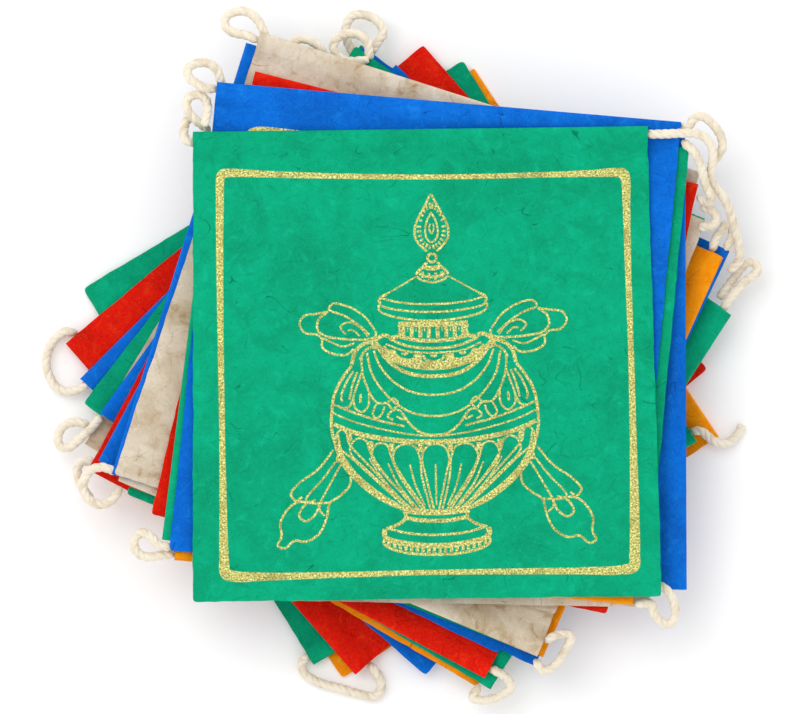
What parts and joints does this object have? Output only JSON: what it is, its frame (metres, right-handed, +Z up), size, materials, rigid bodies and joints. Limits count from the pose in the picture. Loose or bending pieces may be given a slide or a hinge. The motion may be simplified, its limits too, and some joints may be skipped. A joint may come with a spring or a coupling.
{
  "type": "paper prayer flag garland",
  "caption": "Garland of square handmade-paper prayer flags on one twisted cotton cord, folded up into a flat stack that is fanned out, with cord loops at its corners.",
  "frame": {"origin": "centre of the stack's outline, on the surface it lies on", "axes": "+Z up through the stack, +Y towards the hemmed top side of the uppermost flag, +X to its right"},
  "size_m": [0.3451, 0.3344, 0.0552],
  "materials": {
    "paper_green": "matte",
    "paper_blue": "matte",
    "paper_red": "matte",
    "paper_orange": "matte",
    "paper_cream": "matte",
    "cotton_cord": "matte",
    "gold_print": "satin"
  },
  "bodies": {
    "root": {"flag_01_green": "paper_green", "flag_02_blue": "paper_blue", "flag_03_green": "paper_green", "flag_04_orange": "paper_orange", "flag_05_cream": "paper_cream", "flag_06_blue": "paper_blue", "flag_07_red": "paper_red", "flag_08_cream": "paper_cream", "flag_09_blue": "paper_blue", "flag_10_cream": "paper_cream", "flag_11_red": "paper_red", "flag_12_green": "paper_green", "flag_13_orange": "paper_orange", "flag_14_blue": "paper_blue", "flag_15_blue": "paper_blue", "flag_16_red": "paper_red", "flag_17_green": "paper_green", "flag_18_orange": "paper_orange", "flag_19_blue": "paper_blue", "flag_20_cream": "paper_cream", "flag_21_green": "paper_green", "flag_22_blue": "paper_blue", "flag_23_red": "paper_red", "flag_24_green": "paper_green", "flag_25_orange": "paper_orange", "cord_tl_0": "cotton_cord", "cord_tl_1": "cotton_cord", "cord_tl_2": "cotton_cord", "cord_tl_3": "cotton_cord", "cord_tl_4": "cotton_cord", "cord_tl_5": "cotton_cord", "cord_tl_6": "cotton_cord", "cord_bl_1": "cotton_cord", "cord_bl_2": "cotton_cord", "cord_bl_3": "cotton_cord", "cord_bl_4": "cotton_cord", "cord_bl_5": "cotton_cord", "cord_br_1": "cotton_cord", "cord_br_2": "cotton_cord", "cord_br_3": "cotton_cord", "cord_br_4": "cotton_cord", "cord_tr_0": "cotton_cord", "cord_tr_1": "cotton_cord", "cord_tr_2": "cotton_cord", "cord_tr_3": "cotton_cord", "cord_tr_4": "cotton_cord", "cord_tr_5": "cotton_cord", "cord_tr_6": "cotton_cord"}
  },
  "joints": []
}
